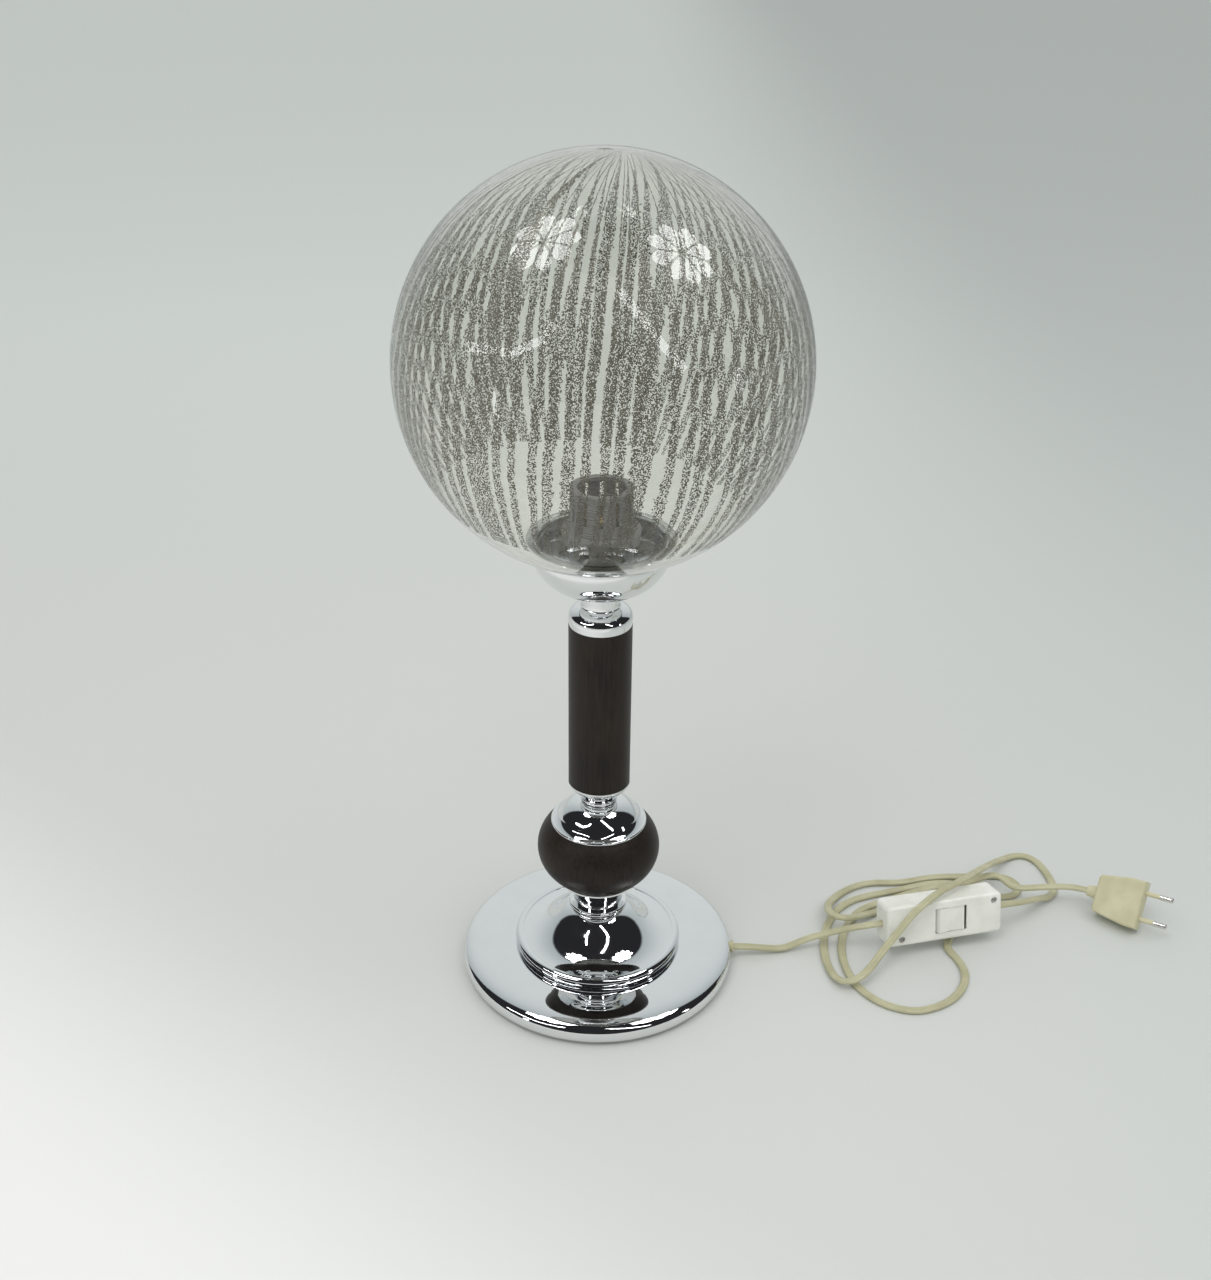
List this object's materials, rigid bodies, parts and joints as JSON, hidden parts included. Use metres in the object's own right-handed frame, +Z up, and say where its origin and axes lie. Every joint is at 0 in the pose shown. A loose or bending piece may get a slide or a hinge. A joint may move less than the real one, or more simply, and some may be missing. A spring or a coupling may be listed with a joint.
{
  "type": "glass globe table lamp",
  "caption": "Table lamp with a smoked glass globe in a chromed cup, on a dark wooden column and flattened ball over a round chromed base, with a flex, in-line switch and flat plug.",
  "frame": {"origin": "centre of the felt under the base, on the table", "axes": "+Z up along the stem, +X towards the side where the cord leaves the base, -Y towards the viewer"},
  "size_m": [0.5154, 0.2353, 0.5332],
  "materials": {
    "chrome": "polished",
    "cast_iron": "rough",
    "felt": "matt",
    "steel": "zinc plated",
    "wood": "dark stain, satin lacquer",
    "smoked_glass": "clear, with speckled stripes",
    "holder": "semi gloss",
    "brass": "bright",
    "flex": "soft, yellowed",
    "switch": "semi gloss, yellowed",
    "plug": "soft, yellowed",
    "pin_metal": "nickel plated"
  },
  "bodies": {
    "lamp": {"ball_cap": "chrome", "ball_seat": "chrome", "base_ballast": "cast_iron", "base_felt": "felt", "base_nut": "steel", "base_shell": "chrome", "base_washer": "steel", "cap_ring": "chrome", "centre_contact": "brass", "column_neck": "chrome", "cord_base_to_switch": "flex", "cord_behind_switch": "flex", "cord_front_loop": "flex", "cord_grommet": "plug", "cord_over_switch": "flex", "cord_to_plug": "flex", "cord_under_switch": "flex", "cup_locknut": "steel", "cup_ring": "chrome", "cup_washer": "steel", "gallery_cup": "chrome", "inner_flex": "flex", "lampholder_cap": "holder", "lampholder_insert": "holder", "lampholder_sleeve": "holder", "lower_ferrule": "chrome", "lower_neck": "chrome", "plug_body": "plug", "plug_pin_sleeves": "plug", "plug_pins": "pin_metal", "plug_strain_relief": "plug", "saucer": "chrome", "saucer_ring": "chrome", "screw_shell": "brass", "shade_ring": "holder", "switch_base": "switch", "switch_contacts": "brass", "switch_cover": "switch", "switch_screws": "steel", "terminals": "brass", "threaded_tube": "steel", "upper_ferrule": "chrome", "wood_ball": "wood", "wood_column": "wood"},
    "globe": {"glass_globe": "smoked_glass"},
    "rocker": {"switch_rocker": "switch"}
  },
  "joints": [
    {"name": "globe_lift", "type": "slide", "parent": "lamp", "child": "globe", "axis": [0, 0, 1], "range_m": [0, 0.09]},
    {"name": "rocker_press", "type": "hinge", "parent": "lamp", "child": "rocker", "pos_m": [0.23931, 0.01729, 0.02256], "axis": [-0.0585, 0.2347, 0.9703], "range_deg": [-12, 0]}
  ]
}
